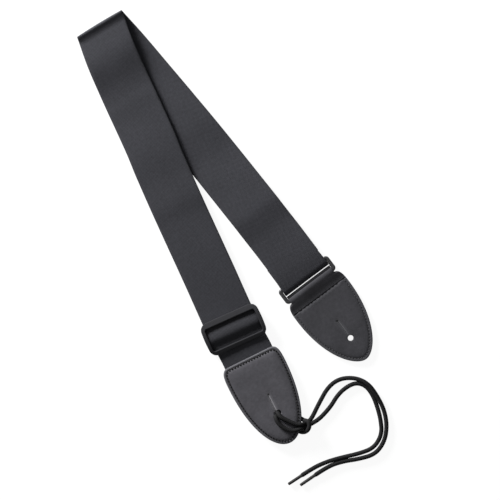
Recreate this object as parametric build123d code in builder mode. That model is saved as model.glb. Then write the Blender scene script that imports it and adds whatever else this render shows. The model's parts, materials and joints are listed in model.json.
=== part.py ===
"""Guitar strap: 50 mm webbing with a slider, a ring, two leather ends and a tie lace.

The strap lies flat, folded once over itself. Millimetres. The origin is the centre of the button
hole in the leather end on the ring, at the surface the strap lies on; +Y points to the fold, +Z up.
"""
import os
from math import atan2, cos, degrees, radians, sin, tan

from build123d import *

os.makedirs("parts", exist_ok=True)

# ---- driving dimensions ------------------------------------------------------------------------
# webbing
webbing_w = 50.0
webbing_t = 1.2
layer_gap = 0.3  # air between two layers of webbing that lie on each other
run_gap = 0.3  # running clearance of everything that slides or turns
side_slack = 0.6  # room beside the webbing in the slider and the ring

# lie of the strap
left_tilt = 7.1  # the left leg leans this many degrees off +Y
right_tilt = 5.7  # and the right leg as many the other way
slider_x, slider_y = -90.95, 64.6  # middle of the slider
fold_x, fold_y = -49.4, 378.8  # middle of the webbing at the fold's outer face
fold_h = 14.0  # height of the soft loop at the fold
fold_run = 62.0  # how far from the fold the upper layers start to rise
left_fold_mid = (-55.2, 350.0)  # a point on the left leg's middle line within the fold part
right_fold_mid = (-44.0, 350.0)
right_bend_y = 150.0  # the right leg is straight up to here
right_bow_x = -26.1  # its middle halfway from there to the fold part
right_rise_x = -38.8  # its middle where the fold part begins

# ring
ring_rail = 3.7
ring_w = webbing_w + 2 * (side_slack + ring_rail)
ring_bar = 3.4
ring_bars_apart = 13.1
ring_corner = 3.6
ring_inner_corner = 1.2
ring_edge = 1.45
ring_near_bar = 62.3  # button hole to the bar inside the leather tab
loop_len = 30.0  # length of the webbing's loop, from the bar towards the fold
loop_nose = 5.8  # bar centre to the middle of the webbing's slack turn

# leather
leather_t = 1.2
core_inset = 0.8  # the foam cores are this much smaller than the panels
slit_w = 0.5

# button end, measured from its hole
button_hole_d = 5.5
button_slit_len = 20.7
button_end_w = 62.6
button_end_wide = 44.0  # to the widest place
button_end_tip = 25.0
button_end_belly = 45.0  # widest place to where its sides' curve aims
button_end_blunt = 11.6  # and half the width that its tip's curve aims for
shoulder_y = 59.8  # the leather widens this side of the ring
tab_slack = 0.9  # room beside the tab in the ring
tab_w = ring_w - 2 * (ring_rail + tab_slack)
tab_nose = 4.5  # bar centre to the middle of the tab's turn
tab_drop = 8.9  # bar centre to where the tab lies flat again
tab_seam = 49.5
tab_gap = 0.4

# lace end
lace_end_x, lace_end_y = -92.5, 34.4  # middle of its top edge
lace_end_tilt = 5.0
lace_end_len = 90.0
lace_end_w = 60.4
lace_end_wide = 18.0  # top edge to the widest place
lace_end_corner = 8.5
lace_end_belly = 46.0  # widest place to where its sides' curve aims
lace_end_blunt = 15.5  # and half the width that its tip's curve aims for
lace_end_seat = 3.5  # height of its underside, on the lace that passes beneath
lace_hole_w, lace_hole_len = 4.6, 8.2  # pulled oblong by the doubled lace
lace_hole_from_top = 60.4
lace_hole_shift = 1.2
lace_slit_len = 20.6
webbing_tuck = 22.0  # webbing sewn in between its panels

# slider
slider_rail = 3.95
slider_w = webbing_w + 2 * (side_slack + slider_rail)
slider_len = 32.7
slider_bow = 1.1  # each end is narrower by this at both sides
slider_corner = 7.5
slider_top_bar = 5.9  # end bar towards the fold
slider_low_bar = 4.7  # end bar towards the lace end
slider_bar_t = 2.3
slider_arch = 2.6  # its middle stands higher than its ends
slider_mid_bar = 5.0
slider_foot = 0.8
slider_edge = 0.9
slider_window_corner = 2.0
tail_len = 36.0
tail_sewn = 18.0
tail_step = 10.0  # length over which the tail rises to the under layer

# lace
lace_d = 3.4
lace_lift = 0.05
hole_bend = 2.4  # radius of the lace's bends over the rim of its hole
hitch_turn = 57.0  # the hitch leaves the hole this many degrees from +X towards -Y
tip_d = 2.9
tip_lens = (17.6, 15.7)

# seams
stitch_pitch = 2.9
stitch_len = 2.1
stitch_w = 0.7
stitch_h = 0.25
seam_inset = 2.9

# ---- heights, planes and places worked out from them -------------------------------------------
pitch = webbing_t + layer_gap
up_z = pitch  # underside of the right leg's upper layer; its lower layer lies at 0
main_z = lace_end_seat + leather_t  # underside of the main layer on the left leg
under_z = main_z - pitch
bar_z = webbing_t + run_gap + ring_bar / 2  # middle of the ring's bars
over_bar_z = bar_z + ring_bar / 2 + run_gap + webbing_t / 2
rise_y = fold_y - fold_run


def leg_plane(x, y, lean):
    """Plane on the floor at x, y whose own y leans by lean degrees towards +X."""
    return Plane(origin=(x, y, 0), x_dir=(cos(radians(lean)), -sin(radians(lean)), 0), z_dir=(0, 0, 1))


def side_plane(leg):
    """Upright plane along a leg: its own x runs along the leg and its own y is the height."""
    return Plane(origin=leg.origin, x_dir=leg.y_dir, z_dir=leg.x_dir)


left_leg = leg_plane(slider_x, slider_y, left_tilt)
right_leg = leg_plane(0, 0, -right_tilt)
lace_end = leg_plane(lace_end_x, lace_end_y, lace_end_tilt)
left_side = side_plane(left_leg)
right_side = side_plane(right_leg)
left_half = webbing_w / 2 / cos(radians(left_tilt))  # half width of the webbing along X
right_half = webbing_w / 2 / cos(radians(right_tilt))
left_rise_x = slider_x + tan(radians(left_tilt)) * (rise_y - slider_y)
lace_end_v = (lace_end_y - slider_y) / cos(radians(left_tilt))  # its top edge along the left leg
far_bar = ring_near_bar + ring_bars_apart


# ---- webbing: legs -----------------------------------------------------------------------------
def curved_band(middle, half):
    """Outline of a strip along an arc through three points, as wide along X everywhere."""
    with BuildSketch() as band:
        with BuildLine():
            near = ThreePointArc(*[(x - half, y) for x, y in middle])
            far = ThreePointArc(*[(x + half, y) for x, y in middle])
            Line(near @ 0, far @ 0)
            Line(near @ 1, far @ 1)
        make_face()
    return band.sketch


def left_layer(start, z):
    """Layer of the left leg from start, measured from the slider's middle, to the fold part."""
    with BuildPart() as layer:
        with BuildSketch(left_leg.offset(z)):
            with Locations((0, start)):
                Rectangle(webbing_w, fold_y, align=(Align.CENTER, Align.MIN))
        extrude(amount=webbing_t)
        split(bisect_by=Plane.XZ.offset(-rise_y), keep=Keep.TOP)
    return layer.part


def right_layer(z):
    """Layer of the right leg from the ring's loop to the fold part, curved in plan near the fold."""
    bend_x = -tan(radians(right_tilt)) * right_bend_y
    bow = (right_bow_x, (right_bend_y + rise_y) / 2)
    with BuildPart() as layer:
        with BuildSketch(right_leg.offset(z)):
            with Locations((0, far_bar + loop_len)):
                Rectangle(webbing_w, fold_y, align=(Align.CENTER, Align.MIN))
        extrude(amount=webbing_t)
        split(bisect_by=Plane.XZ.offset(-right_bend_y), keep=Keep.TOP)
        with BuildSketch(Plane.XY.offset(z)):
            add(curved_band([(bend_x, right_bend_y), bow, (right_rise_x, rise_y)], right_half))
        extrude(amount=webbing_t)
    return layer.part


# The main layer starts inside the lace end, where it is sewn, and passes through the slider.
webbing_left_main = left_layer(lace_end_v - webbing_tuck, main_z)
webbing_left_main.label = "webbing_left_main"

# The under layer starts at the slider's tail loop.
webbing_left_under = left_layer(tail_len, under_z)
webbing_left_under.label = "webbing_left_under"

webbing_right_lower = right_layer(0)
webbing_right_lower.label = "webbing_right_lower"

webbing_right_upper = right_layer(up_z)
webbing_right_upper.label = "webbing_right_upper"


# ---- webbing: the fold -------------------------------------------------------------------------
fold_straight = pitch + webbing_t  # both layers run straight over this last stretch


def fold_strip(path, middle, half):
    """Webbing bent along a path in the YZ plane and trimmed to the plan of its leg."""
    with BuildPart() as strip:
        with BuildSketch(Plane.YZ):
            add(path)
            trace(line_width=webbing_t)
        extrude(amount=4 * webbing_w, both=True)
        with BuildSketch():
            add(curved_band(middle, half))
            with Locations(middle[-1]):  # straight over the apex, where the two strips meet
                Rectangle(2 * half, 2 * fold_straight, align=(Align.CENTER, Align.MIN))
        extrude(amount=2 * fold_h, mode=Mode.INTERSECT)
    return strip.part


def fold_layer(inside):
    """One layer of the soft loop; inside is how far it lies within the outer layer."""
    radius = (fold_h - webbing_t) / 2 - inside
    turn_y = fold_y - fold_h / 2
    low = webbing_t / 2 + inside
    leg = main_z + webbing_t / 2 - inside
    top = fold_h - low
    rise_mid = ((rise_y + turn_y) / 2, (leg + top) / 2)
    middle = (turn_y, fold_h / 2)
    apex = (fold_x, fold_y - fold_straight)
    with BuildLine() as upper:
        lift = TangentArc((rise_y, leg), rise_mid, tangent=(1, 0))
        TangentArc(rise_mid, (turn_y, top), tangent=lift % 1)
        CenterArc(middle, radius, 0, 90)
    with BuildLine() as lower:
        Line((rise_y, low), (turn_y, low))
        CenterArc(middle, radius, -90, 90)
    with BuildPart() as layer:
        add(fold_strip(upper.line, [(left_rise_x, rise_y), left_fold_mid, apex], left_half))
        add(fold_strip(lower.line, [(right_rise_x, rise_y), right_fold_mid, apex], left_half))
    return layer.part


webbing_fold_outer = fold_layer(0)
webbing_fold_outer.label = "webbing_fold_outer"

webbing_fold_inner = fold_layer(pitch)
webbing_fold_inner.label = "webbing_fold_inner"


# ---- ring --------------------------------------------------------------------------------------
# Moulded rectangular ring: the webbing loops round its far bar, the leather tab round the near one.
with BuildPart() as ring:
    with BuildSketch(right_leg.offset(bar_z - ring_bar / 2)):
        with Locations((0, ring_near_bar + ring_bars_apart / 2)):
            RectangleRounded(ring_w, ring_bars_apart + ring_bar, ring_corner)
            RectangleRounded(
                ring_w - 2 * ring_rail, ring_bars_apart - ring_bar, ring_inner_corner, mode=Mode.SUBTRACT
            )
    extrude(amount=ring_bar)
    fillet(ring.faces().filter_by(Axis.Z).edges(), ring_edge)
ring.part.label = "ring"

# Loop of webbing: up and over the far bar, a slack turn, and back underneath.
with BuildPart() as webbing_ring_loop:
    with BuildSketch(right_side):
        with BuildLine():
            FilletPolyline(
                (far_bar + loop_len, up_z + webbing_t / 2),
                (far_bar + 20, up_z + webbing_t / 2),
                (far_bar + 5, over_bar_z),
                (far_bar - 1.8, over_bar_z),
                (far_bar - loop_nose, bar_z),
                (far_bar - loop_nose, webbing_t / 2),
                (far_bar + loop_len, webbing_t / 2),
                radius=[12, 8, 4, 1.3, 1.2],
            )
        trace(line_width=webbing_t)
    extrude(amount=webbing_w / 2, both=True)
webbing_ring_loop.part.label = "webbing_ring_loop"


# ---- button end --------------------------------------------------------------------------------
def button_end_outline(inset=0.0, end=0.0):
    """Outline of the button end: shoulders, widest place, tip; end adds the tab's narrow strip."""
    wide = button_end_w / 2 - inset
    neck = tab_w / 2 - inset
    shoulder = shoulder_y - inset
    tip = inset - button_end_tip
    with BuildSketch() as outline:
        with BuildLine():
            Spline(
                (neck, shoulder),
                (wide - 0.9, (shoulder + button_end_wide) / 2 + 1.5),
                (wide, button_end_wide),
                tangents=((1, -0.1), (0, -1)),
            )
            Bezier(
                (wide, button_end_wide),
                (wide, button_end_wide - button_end_belly),
                (button_end_blunt - inset / 2, tip),
                (0, tip),
            )
            Polyline((neck, shoulder), (neck, shoulder + end), (0, shoulder + end)) if end else Line(
                (neck, shoulder), (0, shoulder)
            )
            mirror(about=Plane.YZ)
        make_face()
    return outline.sketch


def button_hole(z):
    """Cutter for one layer: the button hole and the slit that lets the button in."""
    with BuildPart() as cutter:
        with BuildSketch(right_leg.offset(z)):
            Circle(button_hole_d / 2)
            Rectangle(slit_w, button_slit_len, align=(Align.CENTER, Align.MIN))
        extrude(amount=leather_t)
    return cutter.part


def button_end_layer(z, inset=0.0, top=shoulder_y):
    """One flat layer of the button end, cut off straight at top."""
    with BuildPart() as layer:
        with BuildSketch(right_leg.offset(z)):
            add(button_end_outline(inset))
            with Locations((0, top)):
                Rectangle(2 * button_end_w, button_end_w, align=(Align.CENTER, Align.MIN), mode=Mode.SUBTRACT)
        extrude(amount=leather_t)
        add(button_hole(z), mode=Mode.SUBTRACT)
    return layer.part


# Outer panel: lies lowest, runs round the ring's near bar and comes back on top as a sewn tab.
with BuildPart() as tab:
    with BuildSketch(right_side):
        with BuildLine():
            FilletPolyline(
                (shoulder_y - 1, leather_t / 2),
                (ring_near_bar + tab_nose, leather_t / 2),
                (ring_near_bar + tab_nose, over_bar_z),
                (ring_near_bar - 1.4, over_bar_z),
                (ring_near_bar - tab_drop, 2.5 * leather_t),
                (tab_seam + tab_gap, 2.5 * leather_t),
                radius=[2.4, 2.4, 5, 5],
            )
        trace(line_width=leather_t)
    extrude(amount=button_end_w, both=True)
    with BuildSketch(right_leg):
        add(button_end_outline(end=3 * tab_nose))
    extrude(amount=fold_h, mode=Mode.INTERSECT)

with BuildPart() as button_end_outer_panel:
    add(button_end_layer(0))
    add(tab.part)
button_end_outer_panel.part.label = "button_end_outer_panel"

button_end_foam_core = button_end_layer(leather_t, core_inset, ring_near_bar - tab_drop)
button_end_foam_core.label = "button_end_foam_core"

# Lining: the side that lies up, butted against the tab at the seam.
button_end_lining = button_end_layer(2 * leather_t, 0, tab_seam)
button_end_lining.label = "button_end_lining"


# ---- seams of the button end -------------------------------------------------------------------
def stitch_places(line, limit=None):
    """Evenly spaced places along a line, each turned along it; limit keeps those below that y."""
    count = int(line.length / stitch_pitch)
    places = []
    for number in range(count):
        at = line @ ((number + 0.5) / count)
        along = line % ((number + 0.5) / count)
        if limit is None or at.Y < limit:
            places.append(Location((at.X, at.Y, 0), (0, 0, degrees(atan2(along.Y, along.X)))))
    return places


def stitches(plane, places):
    """Short threads that lie on a face."""
    with BuildPart() as row:
        with BuildSketch(plane):
            with Locations(*places):
                Rectangle(stitch_len, stitch_w)
        extrude(amount=stitch_h)
    return row.part


button_end_top = right_leg.offset(3 * leather_t)
button_seam_line = button_end_outline(seam_inset).face().outer_wire()
button_end_edge_seam = stitches(button_end_top, stitch_places(button_seam_line, tab_seam - stitch_pitch))
button_end_edge_seam.label = "button_end_edge_seam"

tab_seam_half = button_end_w / 2 - seam_inset
with BuildLine() as tab_row:
    Line((-tab_seam_half, tab_seam + 2), (tab_seam_half, tab_seam + 2))
button_end_tab_seam = stitches(button_end_top, stitch_places(tab_row.edge()))
button_end_tab_seam.label = "button_end_tab_seam"


# ---- lace end ----------------------------------------------------------------------------------
lace_hole = lace_end.from_local_coords((lace_hole_shift, -lace_hole_from_top, 0))
# Plane of the hitch: origin on the floor under the hole, its x towards where the lace leaves.
hitch = leg_plane(lace_hole.X, lace_hole.Y, hitch_turn)


def lace_end_outline(inset=0.0):
    """Outline of the lace end: rounded top corners, sides that draw in to a round tip."""
    wide = lace_end_w / 2 - inset
    tip = inset - lace_end_len
    with BuildSketch() as outline:
        with BuildLine():
            Line((0, -inset), (wide - lace_end_corner, -inset))
            Spline(
                (wide - lace_end_corner, -inset),
                (wide - 1.6, -inset - 5.2),
                (wide, -lace_end_wide),
                tangents=((1, 0), (0, -1)),
            )
            Bezier(
                (wide, -lace_end_wide),
                (wide, -lace_end_wide - lace_end_belly),
                (lace_end_blunt - inset / 2, tip),
                (0, tip),
            )
            mirror(about=Plane.YZ)
        make_face()
    return outline.sketch


def lace_end_layer(z, inset=0.0, room=0.0):
    """One layer of the lace end with the lace's hole and slit; room clears the sewn-in webbing."""
    with BuildPart() as layer:
        with BuildSketch(lace_end.offset(z)):
            add(lace_end_outline(inset))
        extrude(amount=leather_t)
        with BuildSketch(hitch.offset(z)):
            SlotOverall(lace_hole_len, lace_hole_w, rotation=90)
        extrude(amount=leather_t, mode=Mode.SUBTRACT)
        with BuildSketch(lace_end.offset(z)):
            with Locations((lace_hole_shift, -lace_hole_from_top)):
                Rectangle(slit_w, lace_slit_len, align=(Align.CENTER, Align.MIN))
        extrude(amount=leather_t, mode=Mode.SUBTRACT)
        if room:
            with BuildSketch(left_leg.offset(z)):
                with Locations((0, lace_end_v - webbing_tuck - layer_gap)):
                    Rectangle(webbing_w + 2 * room, 2 * webbing_tuck, align=(Align.CENTER, Align.MIN))
            extrude(amount=leather_t, mode=Mode.SUBTRACT)
    return layer.part


lace_end_back_panel = lace_end_layer(lace_end_seat)
lace_end_back_panel.label = "lace_end_back_panel"

lace_end_foam_core = lace_end_layer(main_z, core_inset, layer_gap)
lace_end_foam_core.label = "lace_end_foam_core"

lace_end_front_panel = lace_end_layer(main_z + webbing_t)
lace_end_front_panel.label = "lace_end_front_panel"

lace_end_top_z = main_z + webbing_t + leather_t
lace_seam_line = lace_end_outline(seam_inset).face().outer_wire()
lace_end_seam = stitches(lace_end.offset(lace_end_top_z), stitch_places(lace_seam_line))
lace_end_seam.label = "lace_end_seam"

# ---- slider ------------------------------------------------------------------------------------
# Moulded three-bar slider: the main layer passes under the end bars and over the middle bar, which
# carries the sewn tail loop.
end_bar_z = main_z + webbing_t + run_gap
slider_top = end_bar_z + slider_bar_t
window_w = webbing_w + 2 * side_slack
half_len = slider_len / 2
mid_bar_t = under_z - webbing_t

window_len = slider_len - slider_top_bar - slider_low_bar
window_mid = (slider_low_bar - slider_top_bar) / 2


def slider_arc(height):
    """Arc over the slider's length in its side view: height at its ends, higher in the middle."""
    past = 1.1  # runs this much past the slider's ends
    end = (past * half_len, height + slider_arch * (1 - past**2))
    return ThreePointArc((-end[0], end[1]), (0, height + slider_arch), end)


with BuildPart() as slider:
    with BuildSketch(left_leg.offset(slider_foot)) as slider_plan:
        with BuildLine():
            end_half = slider_w / 2 - slider_bow
            for side in (-1, 1):
                ThreePointArc(
                    (side * end_half, -half_len), (side * slider_w / 2, 0), (side * end_half, half_len)
                )
                Line((-end_half, side * half_len), (end_half, side * half_len))
        make_face()
        fillet(slider_plan.vertices(), slider_corner)
    extrude(amount=slider_top + slider_arch)
    with BuildSketch(left_side):  # arched on top; the rails are deepest at the middle bar
        with BuildLine():
            arc = slider_arc(slider_top)
            Polyline(
                arc @ 0, (-1.1 * half_len, under_z), (-slider_mid_bar, 0), (slider_mid_bar, 0), (1.1 * half_len, under_z), arc @ 1
            )
        make_face()
    extrude(amount=slider_w, both=True, mode=Mode.INTERSECT)
    with BuildSketch(left_leg):
        with Locations((0, window_mid)):
            RectangleRounded(window_w, window_len, slider_window_corner)
    extrude(amount=2 * slider_top, mode=Mode.SUBTRACT)
    fillet(slider.faces().sort_by(Axis.Z)[-1].edges(), slider_edge)
    with BuildSketch(left_side):  # room for the webbing under the end bars
        with BuildLine():
            arc = slider_arc(end_bar_z)
            Polyline(arc @ 0, (-1.1 * half_len, 0), (1.1 * half_len, 0), arc @ 1)
        make_face()
    extrude(amount=window_w / 2, both=True, mode=Mode.SUBTRACT)
    with BuildSketch(left_side):
        with Locations((0, webbing_t + mid_bar_t / 2)):
            SlotOverall(slider_mid_bar, mid_bar_t)
    extrude(amount=window_w / 2, both=True)
slider.part.label = "slider"

# Tail loop: the under layer turns round the middle bar and is sewn to itself from below.
tail_turn = slider_mid_bar / 2 - mid_bar_t / 2 + run_gap
under_mid = under_z + webbing_t / 2
tail_mid = under_z - webbing_t / 2
tail_flat = tail_len - tail_sewn
with BuildPart() as webbing_tail_loop:
    with BuildSketch(left_side):
        with BuildLine():
            Line((tail_len, under_mid), (-tail_turn, under_mid))
            ThreePointArc(
                (-tail_turn, under_mid),
                (-tail_turn - (under_mid - webbing_t / 2) / 2, (under_mid + webbing_t / 2) / 2),
                (-tail_turn, webbing_t / 2),
            )
            FilletPolyline(
                (-tail_turn, webbing_t / 2),
                (tail_flat - tail_step, webbing_t / 2),
                (tail_flat, tail_mid),
                (tail_len - stitch_pitch, tail_mid),
                radius=8,
            )
        trace(line_width=webbing_t)
    extrude(amount=webbing_w / 2, both=True)
webbing_tail_loop.part.label = "webbing_tail_loop"

# Box stitch on the underside of the sewn tail: a frame with a cross.
box_half = webbing_w / 2 - seam_inset
box_low = tail_flat + seam_inset
box_high = tail_len - stitch_pitch - seam_inset
with BuildLine() as box_lines:
    Line((-box_half, box_low), (box_half, box_low))
    Line((-box_half, box_high), (box_half, box_high))
    for side in (-1, 1):
        Line((side * box_half, box_low + 2), (side * box_half, box_high - 2))
        Line((side * (box_half - 4), box_low + 2), (side * 3, box_high - 4.6))
box_places = [place for line in box_lines.edges() for place in stitch_places(line)]
tail_box_stitch = stitches(left_leg.offset(under_z - webbing_t - stitch_h), box_places)
tail_box_stitch.label = "tail_box_stitch"


# ---- lace --------------------------------------------------------------------------------------
def route_radii(points, share=0.45):
    """Largest tangent arc at each corner of a route: a share of the shorter run beside it."""
    radii = []
    for before, at, after in zip(points, points[1:], points[2:]):
        run_in = Vector(*at) - Vector(*before)
        run_out = Vector(*after) - Vector(*at)
        turn = radians(run_in.get_angle(run_out))
        radii.append(share * min(run_in.length, run_out.length) / tan(turn / 2))
    return radii


def lace_tube(points, tight=()):
    """Round lace along straight runs joined by tangent arcs; tight names its sharpest corners."""
    radii = route_radii(points)
    for corner in tight:
        radii[corner - 1] = hole_bend
    with BuildPart() as tube:
        with BuildLine():
            route = FilletPolyline(*points, radius=radii)
        with BuildSketch(Plane(origin=route @ 0, z_dir=route % 0)):
            Circle(lace_d / 2)
        sweep()
    print(f"lace: length {route.length:.1f} mm, radii from {min(radii):.1f} to {max(radii):.1f} mm")
    return tube.part


floor_z = lace_d / 2 + lace_lift
over_z = lace_end_top_z + stitch_h + lace_d / 2 + lace_lift

# Girth hitch in one piece, in the hitch plane: strand 1 back over the front panel, down the hole,
# out underneath, the bight up and across both strands, in underneath, up the hole, and strand 2 out.
hitch_route = [
    (30.0, 17.5, floor_z),
    (29.9, 13.0, floor_z),
    (30.1, 8.4, 3.2),
    (29.3, 3.6, 5.7),
    (26.2, 0.9, over_z),
    (20.0, -0.2, over_z),
    (13.0, -0.9, over_z),
    (6.5, 0.3, over_z),
    (0.0, 1.8, over_z),
    (0.0, 1.8, floor_z),
    (8.0, 3.4, floor_z),
    (16.5, 6.6, floor_z),
    (24.3, 8.9, floor_z),
    (26.7, 9.1, 5.4),
    (29.2, 6.6, 8.6),
    (31.8, 2.6, 9.0),
    (33.0, -1.8, 8.6),
    (31.9, -5.8, 5.2),
    (28.0, -7.6, floor_z),
    (18.0, -5.5, floor_z),
    (8.0, -3.2, floor_z),
    (0.0, -1.8, floor_z),
    (0.0, -1.8, over_z),
    (3.6, -5.4, over_z),
    (8.4, -8.2, over_z),
    (13.8, -9.1, over_z),
    (20.2, -8.4, over_z),
    (26.6, -4.9, over_z),
    (30.2, -1.6, 5.9),
    (33.4, 2.4, 4.3),
    (36.2, 7.2, 2.9),
    (38.4, 11.6, floor_z),
    (39.5, 16.0, floor_z),
]
# The lace bends tightest where it passes over the hole's rim, at both ends of each upright run.
hole_corners = [
    i for i in range(1, len(hitch_route) - 1) if hitch_route[i][:2] in (hitch_route[i - 1][:2], hitch_route[i + 1][:2])
]
hitch_points = [tuple(hitch.from_local_coords(point)) for point in hitch_route]
lace_hitch = lace_tube(hitch_points, hole_corners)
lace_hitch.label = "lace_hitch"


def run_on(end, before):
    """Plan point 8 mm further along the hitch's last run, so that the strand starts square to it."""
    heading = Vector(*end) - Vector(*before)
    return tuple(Vector(*end) + heading.normalized() * 8)[:2]


# Free strands, on the floor, side by side; each begins where the hitch lets it go.
strand_routes = (
    [
        run_on(hitch_points[0], hitch_points[1]),
        (-43.0, -27.8),
        (-29.0, -26.4),
        (-15.0, -33.4),
        (-6.6, -45.2),
        (-4.8, -60.5),
        (-6.0, -75.0),
        (-12.0, -89.5),
        (-22.5, -101.5),
        (-37.0, -106.6),
        (-52.5, -102.4),
        (-67.5, -96.4),
        (-82.0, -93.6),
        (-95.9, -94.9),
    ],
    [
        run_on(hitch_points[-1], hitch_points[-2]),
        (-39.5, -40.4),
        (-28.5, -37.6),
        (-17.8, -38.8),
        (-11.2, -46.2),
        (-9.9, -57.5),
        (-10.9, -69.5),
        (-14.2, -82.2),
        (-20.8, -95.2),
        (-35.0, -101.4),
        (-50.0, -97.4),
        (-65.0, -92.8),
        (-80.0, -89.5),
        (-94.0, -87.6),
        (-107.1, -88.1),
    ],
)
lace_strands = []
lace_tips = []
for number, (flat_route, tip_len) in enumerate(zip(strand_routes, tip_lens), 1):
    start = (hitch_points[0], hitch_points[-1])[number - 1]
    route_points = [start] + [(x, y, floor_z) for x, y in flat_route]
    strand = lace_tube(route_points)
    strand.label = f"lace_strand_{number}"
    lace_strands.append(strand)
    heading = Vector(*route_points[-1]) - Vector(*route_points[-2])
    with BuildPart() as lace_tip:
        with BuildSketch(Plane(origin=route_points[-1], z_dir=heading)):
            Circle(tip_d / 2)
        extrude(amount=tip_len)
        chamfer(lace_tip.faces().sort_by(Axis.X)[0].edges(), tip_d / 8)
    lace_tip.part.label = f"lace_tip_{number}"
    lace_tips.append(lace_tip.part)

# ---- files -------------------------------------------------------------------------------------
pieces = [
    webbing_left_main,
    webbing_left_under,
    webbing_right_lower,
    webbing_right_upper,
    webbing_fold_outer,
    webbing_fold_inner,
    webbing_ring_loop.part,
    webbing_tail_loop.part,
    tail_box_stitch,
    slider.part,
    ring.part,
    button_end_outer_panel.part,
    button_end_foam_core,
    button_end_lining,
    button_end_edge_seam,
    button_end_tab_seam,
    lace_end_back_panel,
    lace_end_foam_core,
    lace_end_front_panel,
    lace_end_seam,
    lace_hitch,
    *lace_strands,
    *lace_tips,
]
for piece in pieces:
    export_step(piece, f"parts/{piece.label}.step")
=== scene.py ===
"""A guitar strap, folded once over itself: webbing, slider, ring, two leather ends and a tie lace.

Lengths are in millimetres until a mesh is made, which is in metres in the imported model's frame.
"""
import json
from math import ceil, cos, dist, exp, hypot, inf, pi, radians, sin

import bpy
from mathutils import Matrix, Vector
from mathutils.geometry import delaunay_2d_cdt


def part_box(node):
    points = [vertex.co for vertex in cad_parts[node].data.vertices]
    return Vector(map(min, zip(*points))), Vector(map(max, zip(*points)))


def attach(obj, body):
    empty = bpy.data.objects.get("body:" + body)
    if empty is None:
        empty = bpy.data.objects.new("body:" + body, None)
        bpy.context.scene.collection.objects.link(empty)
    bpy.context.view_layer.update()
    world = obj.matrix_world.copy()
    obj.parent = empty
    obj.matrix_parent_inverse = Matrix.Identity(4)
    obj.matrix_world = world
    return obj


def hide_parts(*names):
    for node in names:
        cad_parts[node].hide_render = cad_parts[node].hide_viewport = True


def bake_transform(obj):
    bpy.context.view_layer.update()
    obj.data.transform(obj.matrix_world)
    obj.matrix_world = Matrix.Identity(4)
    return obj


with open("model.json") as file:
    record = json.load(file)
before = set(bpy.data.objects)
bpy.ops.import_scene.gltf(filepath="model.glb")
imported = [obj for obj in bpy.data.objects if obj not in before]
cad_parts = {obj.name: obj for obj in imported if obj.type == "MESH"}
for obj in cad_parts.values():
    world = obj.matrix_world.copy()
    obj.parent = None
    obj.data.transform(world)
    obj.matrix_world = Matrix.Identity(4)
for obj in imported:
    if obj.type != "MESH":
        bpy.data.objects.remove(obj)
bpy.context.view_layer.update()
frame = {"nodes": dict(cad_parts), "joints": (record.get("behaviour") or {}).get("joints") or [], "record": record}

# ---- Webbing: the run from the lace end over the slider to the fold ----
# One long band of 50 mm nylon webbing makes the whole strap. This stretch is sewn into the lace end,
# passes through the slider and climbs into the soft fold.
MM = 0.001  # a millimetre, in metres
scene = bpy.context.scene


def node_box(name):
    """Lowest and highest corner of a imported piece, in millimetres."""
    low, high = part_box(name)
    return Vector(low) / MM, Vector(high) / MM


def node_middle(name):
    low, high = node_box(name)
    return (low + high) / 2


joints = {joint["name"]: joint for joint in frame["joints"]}
left_along = Vector(joints["slider_adjust"]["axis"]).normalized()
left_across = Vector((left_along.y, -left_along.x, 0))
right_across = Vector(joints["ring_turn"]["axis"]).normalized()
right_along = Vector((-right_across.y, right_across.x, 0))
slider_middle = node_middle("slider")
main_low, main_high = node_box("webbing_left_main")
fold_edge = node_box("webbing_fold_outer")[1].y

webbing_thick = main_high.z - main_low.z
webbing_half = 25.0
webbing_soft_edge = 0.5
webbing_step = 2.2  # between two stations along the band
webbing_columns = 22


def eased(knots, at):
    """Smooth value through (place, value) knots; held flat beyond the first and the last."""
    if at <= knots[0][0]:
        return knots[0][1]
    if at >= knots[-1][0]:
        return knots[-1][1]
    number = max(i for i in range(len(knots) - 1) if knots[i][0] <= at)

    def slope(i):
        before, after = knots[max(i - 1, 0)], knots[min(i + 1, len(knots) - 1)]
        return (after[1] - before[1]) / (after[0] - before[0])

    (x0, y0), (x1, y1) = knots[number], knots[number + 1]
    span = x1 - x0
    t = (at - x0) / span
    return (
        (2 * t**3 - 3 * t**2 + 1) * y0
        + (t**3 - 2 * t**2 + t) * span * slope(number)
        + (3 * t**2 - 2 * t**3) * y1
        + (t**3 - t**2) * span * slope(number + 1)
    )


def make_piece(name, points, faces, finish, **fields):
    """Smooth mesh object from points in millimetres; each field is one vector for every point."""
    mesh = bpy.data.meshes.new(name)
    mesh.from_pydata([Vector(point) * MM for point in points], [], faces)
    mesh.shade_smooth()
    for label, values in fields.items():
        stored = mesh.attributes.new(label, "FLOAT_VECTOR", "POINT")
        stored.data.foreach_set("vector", [number for value in values for number in value])
    mesh.materials.append(finish)
    piece = bpy.data.objects.new(name, mesh)
    scene.collection.objects.link(piece)
    return piece


def tube_faces(sides, rings):
    """Faces of a closed tube whose points run ring by ring."""
    last = (rings - 1) * sides
    faces = []
    for a in range(0, last, sides):
        for i in range(sides):
            j = (i + 1) % sides
            faces.append((a + i, a + j, a + sides + j, a + sides + i))
    return faces + [tuple(reversed(range(sides))), tuple(range(last, last + sides))]


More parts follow.
